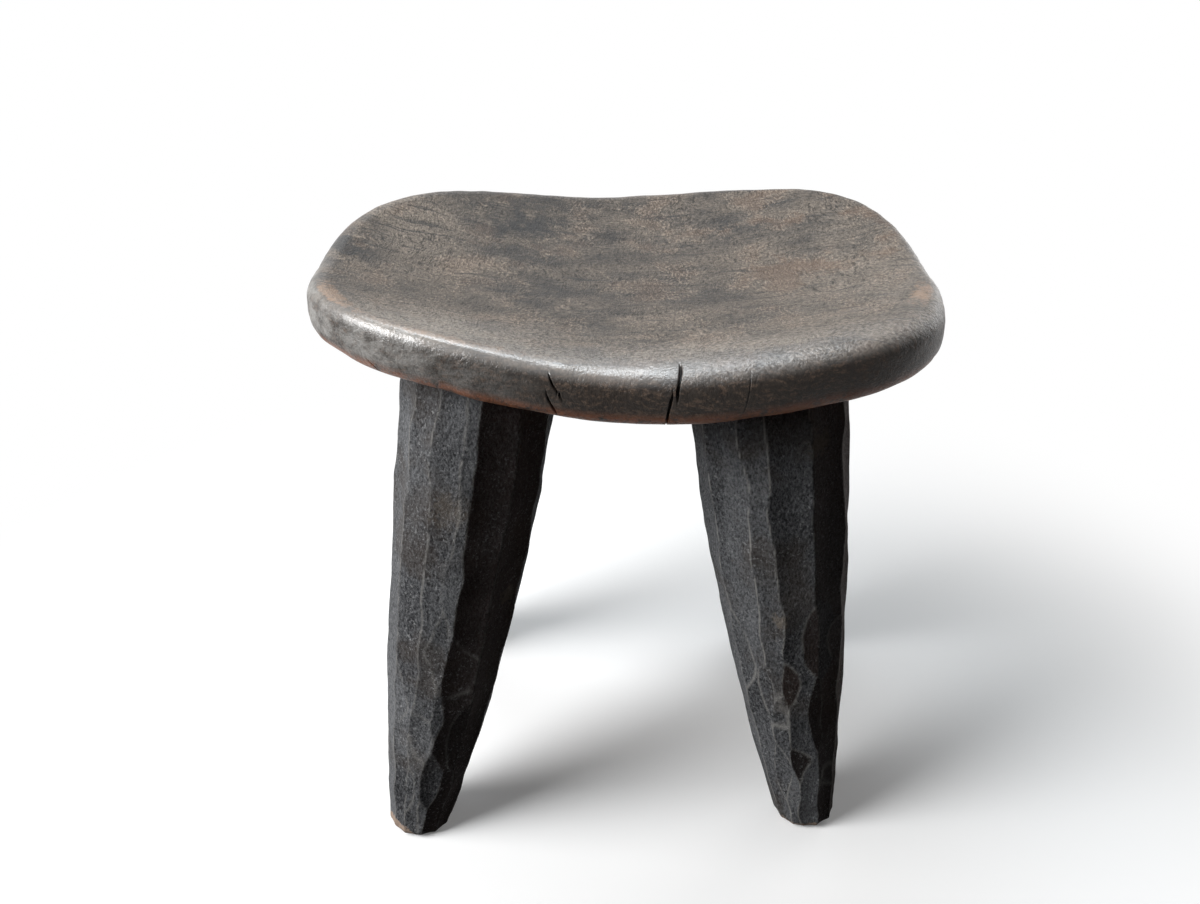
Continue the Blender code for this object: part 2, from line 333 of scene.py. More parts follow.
# the legs: tapered, splayed, cut to long flats with an adze, with scoops on the flats and bites across them
legLook = {
    "leftFootRadius": 0.0195, "leftHeadRadius": 0.0430, "leftFullness": 2.15,
    "rightFootRadius": 0.0187, "rightHeadRadius": 0.0450, "rightFullness": 1.75,
    "bow": 0.0014, "footEdge": 0.0036,
    "sink": 0.004,            # how far the head runs up into the slab, so that no seam shows
    "slopeReach": 0.03,       # distance to either side of the head at which the slab's slope is taken
    "hollow": 1.6,            # 1 is a plane cut, more is a hollow one
    "unevenness": 0.0004,     # how much deeper one flat is than the next
    "sway": 12.0, "wave": 0.0012,              # degrees and depth by which a flat wanders along the leg
    "shortScoop": 0.030, "longScoop": 0.085,   # length of a scoop at the foot and under the seat
    "scoopDepth": 0.0008, "scoopShare": 0.72, "scoopLean": 3.0,
    "paintedShadeBelow": -0.7, "darkestScoop": -0.45,       # tones: a flat toned below the first is painted shade, and so are its scoops
    "biteShare": 0.9, "biteDepth": (0.0008, 0.0013), "biteRise": 0.0012, "biteSway": 3.0, "biteWave": 0.0003,
    "biteEdge": 0.00018, "firstBite": 100,           # thinner ridges round a bite, and the number of the first one
    "spareBites": {"spacing": 32, "height": (0.02, 0.14), "length": (0.034, 0.05), "tone": (-0.3, 0.4)},
    "softEdge": 0.0005, "ridgeWidth": (0.00048, 0.00008),
    "hewn": [(48.0, 0.0011), (190.0, 0.00035)],      # rough surface: waves per metre and height
    "columns": 310, "rows": 290,
    # ridges between the flats, in degrees round the leg from +X, front at 270, and the tone of the flat after each;
    # on the front legs the flats towards the lamps are toned lighter, painted light, and those away from them
    # darker, painted shade
    # bites: turn, height, length and tone, darker on the front legs' flats away from the lamps as painted shade,
    # and where spare ones go: start and span of what the camera doesn't see
    "legs": {
        "leg_front_left": {
            "foot": (-0.1292, -0.0980), "lean": (0.0495, 0.0295), "side": "left", "seed": 11,
            "wornTurn": 205, "wornHeight": 0.0085, "ridgeWear": 0.6,
            "ridges": [196, 221, 245, 265, 276, 308, 339, 8, 41, 74, 108, 138, 167],
            "tonesAndPaintedShading": [0.7, 0.4, 0.5, 0.2, -1.1, -1.2, -0.2, 0.2, 0.4, 0, 0.2, 0.3, 0.4],
            "bites": [(263, 0.143, 0.050, -0.3), (255, 0.081, 0.040, 0.1), (275, 0.098, 0.040, -0.4),
                      (280, 0.044, 0.036, -0.6), (248, 0.037, 0.036, 0.2), (299, 0.075, 0.040, -1.0),
                      (289, 0.127, 0.045, -1.0), (229, 0.109, 0.045, 0.5)],
            "unseen": (350, 190)},
        "leg_front_right": {
            "foot": (0.1165, -0.0925), "lean": (-0.0387, 0.0240), "side": "right", "seed": 23,
            "wornTurn": 250, "wornHeight": 0.0030, "ridgeWear": 1.0,
            "ridges": [182, 208, 242, 261, 293, 328, 356, 25, 56, 90, 121, 152],
            "tonesAndPaintedShading": [0.5, 0.45, 0.3, 0.1, -1.1, -1.2, -0.2, 0.2, 0.4, 0, 0.2, 0.3],
            "bites": [(286, 0.145, 0.042, -1.0), (270, 0.114, 0.036, -1.0), (296, 0.093, 0.042, -0.9),
                      (250, 0.096, 0.046, -0.5), (233, 0.107, 0.040, -0.1), (272, 0.057, 0.036, -1.0),
                      (240, 0.046, 0.034, -0.2), (315, 0.139, 0.040, -0.9), (314, 0.043, 0.040, -1.1),
                      (219, 0.128, 0.045, 0.2)],
            "unseen": (350, 190)},
        "leg_rear_left": {
            "foot": (-0.1262, 0.0945), "lean": (0.0465, -0.0260), "side": "left", "seed": 37,
            "wornTurn": 120, "wornHeight": 0.0060, "ridgeWear": 0.6,
            "ridges": [5, 33, 66, 97, 124, 157, 186, 215, 249, 277, 306, 335],
            "tonesAndPaintedShading": [0.2, 0, 0.2, -0.2, 0.4, 0.5, 0.3, 0.1, 0, -0.2, 0.2, 0.4],
            "bites": [], "unseen": (0, 360)},
        "leg_rear_right": {
            "foot": (0.1183, 0.0945), "lean": (-0.0405, -0.0260), "side": "right", "seed": 53,
            "wornTurn": 60, "wornHeight": 0.0050, "ridgeWear": 0.8,
            "ridges": [14, 44, 73, 107, 137, 166, 199, 228, 258, 291, 318, 346],
            "tonesAndPaintedShading": [0.3, 0.2, -0.2, 0.3, 0.1, 0.4, 0.2, 0, -0.3, -0.2, 0.2, 0.4],
            "bites": [], "unseen": (0, 360)},
    },
}


def carveTree():
    tree = bpy.data.node_groups.new("adzedLeg", "GeometryNodeTree")
    add, link = partial(addNode, tree), partial(feed, tree)
    face = tree.interface
    face.new_socket(name="Geometry", in_out="OUTPUT", socket_type="NodeSocketGeometry")
    face.new_socket(name="Cuts", in_out="INPUT", socket_type="NodeSocketGeometry")
    sizes = ["Foot X", "Foot Y", "Lean X", "Lean Y", "Bow X", "Bow Y", "Foot Radius", "Head Radius",
             "Taper Fullness", "Head Height", "Head Slope X", "Head Slope Y", "Sink", "Foot Edge",
             "Worn Turn", "Worn Height", "Ridge Wear", "Seed", "Hollow"]
    for name in sizes:
        face.new_socket(name=name, in_out="INPUT", socket_type="NodeSocketFloat")
    for name in ("Columns", "Rows"):
        face.new_socket(name=name, in_out="INPUT", socket_type="NodeSocketInt")
    face.new_socket(name="Wood", in_out="INPUT", socket_type="NodeSocketMaterial")
    enter = add("NodeGroupInput").outputs
    m = partial(calc, tree)

    def keep(geometry, name, value):
        node = add("GeometryNodeStoreNamedAttribute", data_type="FLOAT", domain="POINT")
        link(node.inputs["Geometry"], geometry)
        node.inputs["Name"].default_value = name
        link(node.inputs["Value"], value)
        return node.outputs["Geometry"]

    def read(name):
        node = add("GeometryNodeInputNamedAttribute", data_type="FLOAT")
        node.inputs["Name"].default_value = name
        return node.outputs["Attribute"]

    # a flat sheet of points: along X the turn, along Y sole, side and head
    sheet = add("GeometryNodeMeshGrid")
    sheet.inputs["Size X"].default_value = 1
    sheet.inputs["Size Y"].default_value = 1
    link(sheet.inputs["Vertices X"], m("ADD", enter["Columns"], 1))
    link(sheet.inputs["Vertices Y"], enter["Rows"])
    place = add("ShaderNodeSeparateXYZ")
    link(place.inputs[0], add("GeometryNodeInputPosition").outputs[0])
    turn = m("MULTIPLY", m("ADD", place.outputs["X"], 0.5), 2 * math.pi)
    along = m("ADD", place.outputs["Y"], 0.5)
    sole, cap = 0.04, 0.98          # shares of the sheet at which the sole ends and the head closes
    climb = m("DIVIDE", m("SUBTRACT", along, sole), cap - sole)
    rise = m("POWER", m("MINIMUM", m("MAXIMUM", climb, 0), 1), 1.25)
    closing = m("DIVIDE", m("SUBTRACT", 1, along), 1 - cap)
    openness = m("MINIMUM", m("MINIMUM", m("DIVIDE", along, sole), closing), 1)
    taper = m("SUBTRACT", 1, m("POWER", m("SUBTRACT", 1, rise), enter["Taper Fullness"]))
    spread = m("SUBTRACT", enter["Head Radius"], enter["Foot Radius"])
    body = m("ADD", enter["Foot Radius"], m("MULTIPLY", spread, taper))
    slope = m("ADD", m("MULTIPLY", m("COSINE", turn), enter["Head Slope X"]),
              m("MULTIPLY", m("SINE", turn), enter["Head Slope Y"]))
    tilt = m("MULTIPLY", m("MULTIPLY", enter["Head Radius"], slope), openness)
    height = m("MULTIPLY", rise, m("ADD", m("ADD", enter["Head Height"], tilt), enter["Sink"]))
    geometry = sheet.outputs["Mesh"]
    for name, value in (("turn", turn), ("rise", rise), ("open", openness), ("body", body), ("height", height),
                        ("first", 1.0), ("second", 1.0), ("soft", 1.0), ("flat", -1.0), ("shade", 0.0)):
        geometry = keep(geometry, name, value)

    # one adze cut after another: a plane that sways along the leg, or a scoop that rises at its ends
    loopIn = add("GeometryNodeRepeatInput")
    loopOut = add("GeometryNodeRepeatOutput")
    loopIn.pair_with_output(loopOut)
    size = add("GeometryNodeAttributeDomainSize", component="MESH")
    link(size.inputs[0], enter["Cuts"])
    link(loopIn.inputs["Iterations"], size.outputs["Point Count"])
    link(loopIn.inputs["Geometry"], geometry)

    def cutValue(name):
        node = add("GeometryNodeSampleIndex", data_type="FLOAT", domain="POINT")
        link(node.inputs["Geometry"], enter["Cuts"])
        link(node.inputs["Value"], read(name))
        link(node.inputs["Index"], loopIn.outputs["Iteration"])
        return node.outputs["Value"]

    def wandering(shift, rate):
        node = add("ShaderNodeTexNoise", noise_dimensions="1D")
        node.inputs["Scale"].default_value = 1
        node.inputs["Detail"].default_value = 1
        start = m("ADD", cutValue("cutSeed"), shift)
        link(node.inputs["W"], m("MULTIPLY_ADD", read("height"), rate, start))
        return m("SUBTRACT", node.outputs[0], 0.5)

    aim = m("MULTIPLY_ADD", wandering(0.0, 26.0), cutValue("cutSway"), cutValue("cutTurn"))
    facing = m("MAXIMUM", m("COSINE", m("SUBTRACT", read("turn"), aim)), 0.25)
    off = m("DIVIDE", m("SUBTRACT", read("height"), cutValue("cutHeight")), cutValue("cutHalf"))
    plane = m("SUBTRACT", m("MULTIPLY", read("body"), cutValue("cutFlat")), cutValue("cutDepth"))
    plane = m("MULTIPLY_ADD", wandering(60.0, 33.0), cutValue("cutWave"), plane)
    plane = m("MULTIPLY_ADD", cutValue("cutRise"), m("MULTIPLY", off, off), plane)
    cut = m("DIVIDE", plane, m("POWER", facing, enter["Hollow"]))
    number = cutValue("cutNumber")
    first, second, soft, flat = read("first"), read("second"), read("soft"), read("flat")
    sameFlat = m("COMPARE", number, flat, 0.5)
    other = m("MULTIPLY_ADD", sameFlat, 10.0, m("MAXIMUM", first, cut))
    isBite = m("GREATER_THAN", number, legLook["firstBite"] - 0.5)
    other = m("MULTIPLY_ADD", isBite, legLook["biteEdge"], other)
    deeper = m("LESS_THAN", cut, first)
    geometry = keep(loopIn.outputs["Geometry"], "second", m("MINIMUM", second, other))
    for name, value in (("flat", number), ("shade", cutValue("cutShade"))):
        geometry = keep(geometry, name, mixedValue(tree, deeper, read(name), value))
    geometry = keep(geometry, "first", m("MINIMUM", first, cut))
    geometry = keep(geometry, "soft", m("SMOOTH_MIN", soft, cut, legLook["softEdge"]))
    link(loopOut.inputs["Geometry"], geometry)
    geometry = loopOut.outputs["Geometry"]

    knocked = fade(tree, m("COSINE", m("SUBTRACT", read("turn"), enter["Worn Turn"])), 0.35, 0.9)
    bare = m("SUBTRACT", m("MULTIPLY_ADD", knocked, enter["Worn Height"], 0.0016), read("height"))
    geometry = keep(geometry, "bare", bare)
    ridge = fade(tree, m("SUBTRACT", read("second"), read("first")), *legLook["ridgeWidth"])
    geometry = keep(geometry, "ridge", m("MULTIPLY", ridge, enter["Ridge Wear"]))

    # rough hewn surface, rounded foot, closed sole and head
    spot = add("ShaderNodeCombineXYZ")
    around = m("ADD", m("MULTIPLY", m("COSINE", read("turn")), read("soft")), enter["Seed"])
    link(spot.inputs["X"], around)
    link(spot.inputs["Y"], m("MULTIPLY", m("SINE", read("turn")), read("soft")))
    link(spot.inputs["Z"], m("MULTIPLY", read("height"), 0.6))
    rough = []
    for scale, depth in legLook["hewn"]:
        node = add("ShaderNodeTexNoise")
        node.inputs["Scale"].default_value = scale
        node.inputs["Detail"].default_value = 2
        link(node.inputs["Vector"], spot.outputs[0])
        rough.append(m("MULTIPLY", m("SUBTRACT", node.outputs[0], 0.5), depth))
    hewn = m("ADD", *rough)
    towards = m("COSINE", m("SUBTRACT", read("turn"), enter["Worn Turn"]))
    edge = m("MULTIPLY", enter["Foot Edge"], m("MULTIPLY_ADD", towards, 0.55, 1.15))
    near = m("MAXIMUM", m("SUBTRACT", 1, m("DIVIDE", read("height"), edge)), 0)
    arc = m("SQRT", m("MAXIMUM", m("SUBTRACT", 1, m("MULTIPLY", near, near)), 0))
    bend = m("MULTIPLY", edge, m("SUBTRACT", 1, arc))
    radius = m("MULTIPLY", m("SUBTRACT", m("ADD", read("soft"), hewn), bend), read("open"))
    belly = m("MULTIPLY", m("MULTIPLY", read("rise"), m("SUBTRACT", 1, read("rise"))), 4)
    put = add("ShaderNodeCombineXYZ")
    for axis, wave in (("X", "COSINE"), ("Y", "SINE")):
        centre = m("MULTIPLY_ADD", enter["Lean " + axis], read("rise"), m("MULTIPLY", enter["Bow " + axis], belly))
        centre = m("ADD", centre, enter["Foot " + axis])
        link(put.inputs[axis], m("ADD", centre, m("MULTIPLY", radius, m(wave, read("turn")))))
    link(put.inputs["Z"], read("height"))
    move = add("GeometryNodeSetPosition")
    link(move.inputs["Geometry"], geometry)
    link(move.inputs["Position"], put.outputs[0])
    merge = add("GeometryNodeMergeByDistance")
    link(merge.inputs["Geometry"], move.outputs["Geometry"])
    merge.inputs["Distance"].default_value = 0.00002
    smooth = add("GeometryNodeSetShadeSmooth")
    link(smooth.inputs["Geometry"], merge.outputs["Geometry"])
    whole = add("GeometryNodeRealizeInstances")
    link(whole.inputs["Geometry"], smooth.outputs["Geometry"])
    paint = add("GeometryNodeSetMaterial")
    link(paint.inputs["Geometry"], whole.outputs["Geometry"])
    link(paint.inputs["Material"], enter["Wood"])
    link(add("NodeGroupOutput").inputs["Geometry"], paint.outputs["Geometry"])
    return tree


# the list of cuts on one leg, as points that carry their numbers
def cutPoints(name, headHeight):
    k = legLook
    leg = k["legs"][name]
    dice = random.Random(leg["seed"])
    rows = {label: [] for label in ("cutTurn", "cutFlat", "cutDepth", "cutHeight", "cutHalf", "cutRise",
                                    "cutSway", "cutWave", "cutSeed", "cutNumber", "cutShade")}

    def addCut(**values):
        for label, value in values.items():
            rows[label].append(value)

    ridges, flats = leg["ridges"], []
    for number, start in enumerate(ridges):
        width = (ridges[(number + 1) % len(ridges)] - start) % 360
        flats.append((start, width))
        shared = {"cutFlat": math.cos(math.radians(width / 2)) ** k["hollow"], "cutSway": math.radians(k["sway"]),
                  "cutWave": k["wave"], "cutSeed": dice.uniform(0, 40), "cutNumber": number}
        middle = start + width / 2
        base = dice.uniform(-1, 1) * k["unevenness"]
        shade = leg["tonesAndPaintedShading"][number] + dice.uniform(-0.3, 0.3)
        addCut(cutTurn=math.radians(middle), cutDepth=base, cutHeight=0, cutHalf=1, cutRise=0, cutShade=shade,
               **shared)
        z = dice.uniform(-0.01, 0.02)
        while z < headHeight:
            share = max(0, z / headHeight)
            length = (k["shortScoop"] + (k["longScoop"] - k["shortScoop"]) * share) * dice.uniform(0.75, 1.3)
            depth = k["scoopDepth"] * dice.uniform(0.35, 1) * (1 - 0.35 * share)
            lean = dice.uniform(-1, 1) * k["scoopLean"]
            if dice.random() < k["scoopShare"]:
                vary = dice.uniform(-0.5, 0.5) * (2.2 - 1.5 * share)
                # a flat painted as shade keeps its scoops dark, and no scoop on the other flats gets as dark
                paintedShade = shade < k["paintedShadeBelow"]
                tint = shade + 0.3 * vary if paintedShade else max(shade + vary, k["darkestScoop"])
                addCut(cutTurn=math.radians(middle + lean), cutDepth=base + depth, cutHeight=z + length / 2,
                       cutHalf=length / 2, cutRise=depth, cutShade=tint, **shared)
            z += length

    bites = list(leg["bites"])
    start, span = leg["unseen"]
    spare = k["spareBites"]
    for _ in range(round(span / spare["spacing"])):
        bites.append((start + dice.uniform(0, span), dice.uniform(*spare["height"]),
                      dice.uniform(*spare["length"]), dice.uniform(*spare["tone"])))
    for number, (turn, height, length, shade) in enumerate(bites):
        width = next(w for s, w in flats if (turn - s) % 360 < w)
        half = math.radians(width / 2 * k["biteShare"])
        addCut(cutTurn=math.radians(turn), cutFlat=math.cos(half) ** k["hollow"],
               cutDepth=dice.uniform(*k["biteDepth"]), cutHeight=height, cutHalf=length / 2,
               cutRise=k["biteRise"], cutSway=math.radians(k["biteSway"]), cutWave=k["biteWave"],
               cutSeed=dice.uniform(0, 40), cutNumber=k["firstBite"] + number, cutShade=shade)

    mesh = bpy.data.meshes.new(name + "_cuts")
    mesh.from_pydata([(0, 0, h) for h in rows["cutHeight"]], [], [])
    for label, values in rows.items():
        mesh.attributes.new(label, "FLOAT", "POINT").data.foreach_set("value", values)
    return mesh


def buildLeg(tree, name, wood):
    k = legLook
    leg = k["legs"][name]
    side, reach = leg["side"], k["slopeReach"]
    head = np.array(leg["foot"]) + np.array(leg["lean"])
    spots = head + np.array([(0, 0), (reach, 0), (-reach, 0), (0, reach), (0, -reach)])
    top, thick = topAndThickness(spots[:, 0], spots[:, 1])
    under = top - thick
    maker = bpy.data.objects.new(name + "_maker", cutPoints(name, float(under[0])))
    bpy.context.scene.collection.objects.link(maker)
    carve = maker.modifiers.new("carve", "NODES")
    carve.node_group = tree
    values = {
        "Foot Radius": k[side + "FootRadius"], "Head Radius": k[side + "HeadRadius"],
        "Taper Fullness": k[side + "Fullness"], "Head Height": float(under[0]), "Sink": k["sink"],
        "Foot Edge": k["footEdge"], "Worn Turn": math.radians(leg["wornTurn"]), "Worn Height": leg["wornHeight"],
        "Ridge Wear": leg["ridgeWear"], "Seed": float(leg["seed"]), "Hollow": k["hollow"],
        "Columns": k["columns"], "Rows": k["rows"], "Wood": wood,
    }
    for i, axis in enumerate("XY"):
        values["Foot " + axis], values["Lean " + axis] = leg["foot"][i], leg["lean"][i]
        values["Bow " + axis] = math.copysign(k["bow"], leg["lean"][i])
        values["Head Slope " + axis] = float((under[2 * i + 1] - under[2 * i + 2]) / (2 * reach))
    for item in tree.interface.items_tree:
        if item.in_out == "INPUT" and item.name in values:
            carve[item.identifier] = values[item.name]
    view = bpy.context.evaluated_depsgraph_get()
    mesh = bpy.data.meshes.new_from_object(maker.evaluated_get(view), depsgraph=view)
    mesh.name = name + "_wood"
    maker.modifiers.remove(carve)
    bpy.data.objects.remove(maker)
    for label in ("turn", "rise", "open", "body", "first", "second", "soft", "flat"):     # used only in carving
        spare = mesh.attributes.get(label)
        if spare:
            mesh.attributes.remove(spare)
    piece = bpy.data.objects.new("adzed_" + name, mesh)
    bpy.context.scene.collection.objects.link(piece)
    print(name + ":", len(mesh.polygons), "faces")
    return piece


# materials
def startWood(name):
    wood = bpy.data.materials.new(name)
    wood.use_nodes = True
    tree = wood.node_tree
    tree.nodes.clear()
    shader = addNode(tree, "ShaderNodeBsdfPrincipled")
    feed(tree, addNode(tree, "ShaderNodeOutputMaterial").inputs["Surface"], shader.outputs[0])
    return wood, tree, shader, addNode(tree, "ShaderNodeTexCoord").outputs["Object"]


def mixed(tree, share, low, high, blend="MIX"):
    node = addNode(tree, "ShaderNodeMix", data_type="RGBA", blend_type=blend)
    feed(tree, byId(node.inputs, "Factor_Float"), share)
    for identifier, colour in (("A_Color", low), ("B_Color", high)):
        if not isinstance(colour, bpy.types.NodeSocket):
            colour = (*colour, 1)
        feed(tree, byId(node.inputs, identifier), colour)
    return byId(node.outputs, "Result_Color")


# a coat of colour over what is there, as far as share and strength go
def layered(tree, colour, coat, share, strength):
    return mixed(tree, calc(tree, "MULTIPLY", share, strength), colour, coat)


def tinted(tree, value):
    node = addNode(tree, "ShaderNodeCombineColor")
    for socket in node.inputs:
        feed(tree, socket, value)
    return node.outputs[0]


def stretched(tree, coords, scale, turnZ=0.0):
    node = addNode(tree, "ShaderNodeMapping")
    feed(tree, node.inputs["Vector"], coords)
    node.inputs["Scale"].default_value = scale
    node.inputs["Rotation"].default_value = (0, 0, math.radians(turnZ))
    return node.outputs[0]


def noiseOf(tree, coords, scale, detail=2.0, roughness=0.55, output=0):
    node = addNode(tree, "ShaderNodeTexNoise")
    feed(tree, node.inputs["Vector"], coords)
    node.inputs["Scale"].default_value = scale
    node.inputs["Detail"].default_value = detail
    node.inputs["Roughness"].default_value = roughness
    return node.outputs[output]


# patches with soft edges: noise scale, detail and roughness, and the two limits of the fade
def patchesOf(tree, coords, look):
    scale, detail, roughness, start, end = look
    return fade(tree, noiseOf(tree, coords, scale, detail, roughness), start, end)


# noise about zero, from its scale, detail and roughness
def ragged(tree, coords, look):
    return calc(tree, "SUBTRACT", noiseOf(tree, coords, *look), 0.5)


def bent(tree, coords, scale, amount):
    swirl = addNode(tree, "ShaderNodeVectorMath", operation="SUBTRACT")
    feed(tree, swirl.inputs[0], noiseOf(tree, coords, scale, 2.0, output=1))
    swirl.inputs[1].default_value = (0.5, 0.5, 0.5)
    node = addNode(tree, "ShaderNodeVectorMath", operation="MULTIPLY_ADD")
    feed(tree, node.inputs[0], swirl.outputs[0])
    node.inputs[1].default_value = (amount, amount, amount)
    feed(tree, node.inputs[2], coords)
    return node.outputs[0]


def field(tree, name):
    return addNode(tree, "ShaderNodeAttribute", attribute_name=name).outputs["Fac"]


def relief(tree, shader, height, strength, distance):
    node = addNode(tree, "ShaderNodeBump")
    node.inputs["Strength"].default_value = strength
    node.inputs["Distance"].default_value = distance
    feed(tree, node.inputs["Height"], height)
    feed(tree, shader.inputs["Normal"], node.outputs[0])
    feed(tree, shader.inputs["Coat Normal"], node.outputs[0])


def woodTools(tree):
    tools = calc, field, mixed, layered, fade, stretched, noiseOf, ragged, patchesOf
    return [partial(tool, tree) for tool in tools]


seatFinish = {
    "dark": (0.042, 0.040, 0.039), "light": (0.156, 0.130, 0.107), "smoke": (0.034, 0.035, 0.037),
    "pale": (0.275, 0.233, 0.193), "fleck": (0.325, 0.270, 0.220), "pore": (0.014, 0.013, 0.012),
    "rust": (0.150, 0.092, 0.062), "worn": (0.360, 0.240, 0.165), "side": (0.012, 0.008, 0.006),
    "sideLight": (0.104, 0.070, 0.051), "lowEdge": (0.268, 0.098, 0.044), "crack": (0.004, 0.003, 0.003),
    # pale grey painted on the lit left of the rim, painted light
    "paintedRimLight": (0.250, 0.238, 0.222),
    "roughness": (0.33, 0.45), "polished": 0.04, "specular": 0.19, "coatRoughness": 0.28, "coatIor": 2.1,
    # flecks, pores, grit, streaks and rim grain per metre, along each axis, and how far flecks turn in places
    "dash": (800, 400, 520), "poreDash": (560, 150, 400), "grit": (520, 520, 520), "streak": (20, 380, 60),
    "rimDash": (230, 230, 420), "crossTurn": 36, "swirl": (26, 0.016),
    "fleckLimits": (0.45, 0.62), "poreLimits": (0.46, 0.36), "gritContrast": 3.6,
    # patches
    "clouds": (21, 7.0, 0.68, 0.34, 0.66), "palePatch": (33, 6.0, 0.66, 0.28, 0.56),
    "crossPatch": (17, 3.0, 0.55, 0.46, 0.56), "fleckPatch": (27, 5.0, 0.62, 0.46, 0.57),
    "porePatch": (22, 5.0, 0.62, 0.42, 0.58), "streakPatch": (1.0, 4.0, 0.6, 0.57, 0.66),
    "smokePatch": (48, 6.0, 0.70, 0.42, 0.54), "rustPatch": (27, 5.0, 0.65, 0.50, 0.64),
    "knotPatch": (90, 4.0, 0.65, 0.35, 0.6), "rimGrain": (1.0, 6.0, 0.74, 0.47, 0.66),
    "sheenPatch": (74, 9.0, 0.82, 0.33, 0.66), "lowPatch": (130, 6.0, 0.72, 0.34, 0.53),
    "wornEdge": (240, 4.0, 0.7), "glossPatch": (70, 5.0, 0.65),
    "reliefStrength": 0.75, "reliefDepth": 0.0006,
}


def seatMaterial():
    c = seatFinish
    wood, tree, shader, coords = startWood("seatWood")
    m, mark, mix, layer, ramp, stretch, grains, uneven, patch = woodTools(tree)

    # cloudy brown, with pale flecks and open pores that lie crosswise in places and are rubbed away on the rim
    swirl = bent(tree, coords, *c["swirl"])
    crosswise = patch(coords, c["crossPatch"])

    def dashes(size, *turns):
        pair = [grains(stretch(swirl, size, turn), 1.0, 2.0, 0.6) for turn in turns]
        return mixedValue(tree, crosswise, *pair)

    colour = mix(patch(stretch(coords, (1, 1.7, 1)), c["clouds"]), c["dark"], c["light"])
    colour = layer(colour, c["pale"], m("MULTIPLY", mark("pale"), patch(coords, c["palePatch"])), 0.85)
    unrubbed = m("MULTIPLY_ADD", mark("rim"), -0.75, 1.0)
    flecks = ramp(dashes(c["dash"], 0, c["crossTurn"]), *c["fleckLimits"])
    showing = m("MULTIPLY_ADD", patch(coords, c["fleckPatch"]), 0.62, 0.12)
    colour = layer(colour, c["fleck"], flecks, m("MULTIPLY", showing, unrubbed))
    pores = ramp(dashes(c["poreDash"], c["crossTurn"], 0), *c["poreLimits"])
    showing = m("MULTIPLY_ADD", patch(coords, c["porePatch"]), 0.5, 0.15)
    colour = layer(colour, c["pore"], pores, m("MULTIPLY", showing, unrubbed))
    grit = grains(stretch(swirl, c["grit"]), 1.0, 3.0, 0.66)
    tone = m("MULTIPLY_ADD", m("SUBTRACT", grit, 0.5), c["gritContrast"], 1.0)
    colour = mix(1.0, colour, tinted(tree, m("MAXIMUM", tone, 0.25)), "MULTIPLY")

    # soot in streaks and patches, red wood showing through, and the rings of the knots
    colour = layer(colour, c["smoke"], patch(stretch(swirl, c["streak"]), c["streakPatch"]), 0.7)
    colour = layer(colour, c["smoke"], m("MULTIPLY", mark("smoke"), patch(coords, c["smokePatch"])), 0.85)
    colour = layer(colour, c["rust"], patch(coords, c["rustPatch"]), m("MULTIPLY_ADD", mark("warm"), 0.4, 0.2))
    colour = layer(colour, c["smoke"], m("MULTIPLY", mark("rings"), patch(coords, c["knotPatch"])), 0.75)

    # darker rim, reddish at its lower edge, pale grey painted on its left where it faces the lamps as painted
    # light, and bare wood where hands wore it
    rimGrain = patch(stretch(swirl, c["rimDash"]), c["rimGrain"])
    colour = layer(colour, mix(rimGrain, c["side"], c["sideLight"]), mark("side"), 0.88)
    # pale grey over the left of the rim, painted light where it faces the lamps
    shiny = m("MULTIPLY", mark("rimSheen"), patch(stretch(coords, (1, 1, 1.6)), c["sheenPatch"]))
    colour = layer(colour, c["paintedRimLight"], shiny, 0.9)
    colour = layer(colour, c["lowEdge"], m("MULTIPLY", mark("lowEdge"), patch(coords, c["lowPatch"])), 0.95)
    rubbed = m("MULTIPLY_ADD", uneven(coords, c["wornEdge"]), 1.3, mark("worn"))
    colour = layer(colour, c["worn"], ramp(rubbed, 0.35, 0.80), 0.75)
    # the cracks painted near black, painted shade inside them
    colour = mix(ramp(mark("crack"), 0.25, 0.75), colour, c["crack"])
    feed(tree, shader.inputs["Base Color"], colour)

    # satin, with a rubbed-up sheen that the grit breaks where the lip isn't sleek
    smoothest, roughest = c["roughness"]
    gloss = m("MULTIPLY_ADD", grains(coords, *c["glossPatch"]), roughest - smoothest, smoothest)
    gloss = m("SUBTRACT", gloss, m("MULTIPLY", mark("polish"), c["polished"]))
    feed(tree, shader.inputs["Roughness"], m("MULTIPLY_ADD", flecks, 0.05, gloss))
    shader.inputs["Specular IOR Level"].default_value = c["specular"]
    broken = m("MULTIPLY_ADD", ramp(grit, 0.38, 0.60), 0.65, 0.40)
    rubbedUp = m("MULTIPLY", mark("polish"), mixedValue(tree, mark("sleek"), broken, 1.0))
    feed(tree, shader.inputs["Coat Weight"], m("MAXIMUM", rubbedUp, m("MULTIPLY", shiny, 0.4)))
    shader.inputs["Coat Roughness"].default_value = c["coatRoughness"]
    shader.inputs["Coat IOR"].default_value = c["coatIor"]
    fine = m("SUBTRACT", m("MULTIPLY", flecks, 0.45), m("MULTIPLY", pores, 0.5))
    fine = m("MULTIPLY", fine, m("SUBTRACT", 1.0, mark("rim")))
    calm = m("MULTIPLY_ADD", m("MULTIPLY", mark("polish"), mark("sleek")), -0.6, 1.0)
    fine = m("MULTIPLY_ADD", m("MULTIPLY", grit, 1.6), calm, fine)
    relief(tree, shader, fine, c["reliefStrength"], c["reliefDepth"])
    return wood


